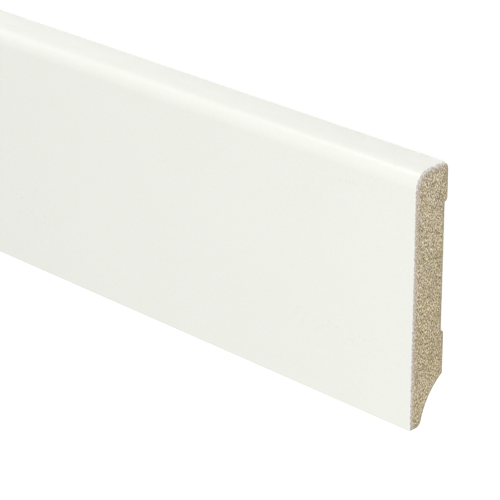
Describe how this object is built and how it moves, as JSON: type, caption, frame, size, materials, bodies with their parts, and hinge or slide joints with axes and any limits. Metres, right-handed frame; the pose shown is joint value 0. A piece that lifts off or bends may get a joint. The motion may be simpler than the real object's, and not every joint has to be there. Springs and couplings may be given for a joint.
{
  "type": "skirting board length",
  "caption": "Long moulded skirting board on its back: flat white-wrapped face with a rounded top edge, shallow relief along the back, hollow behind the toe, sawn ends.",
  "frame": {"origin": "on the floor below the middle of the board's length and height", "axes": "+X along the length towards the sawn end that the picture shows, +Y towards the rounded top edge, +Z out of the white face"},
  "size_m": [2.4, 0.07, 0.012],
  "materials": {
    "raw_mdf": "raw fibreboard, moulded on the back and sawn on the ends",
    "white_foil": "smooth satin foil"
  },
  "bodies": {
    "root": {"mdf_core": "raw_mdf", "white_foil": "white_foil"}
  },
  "joints": []
}
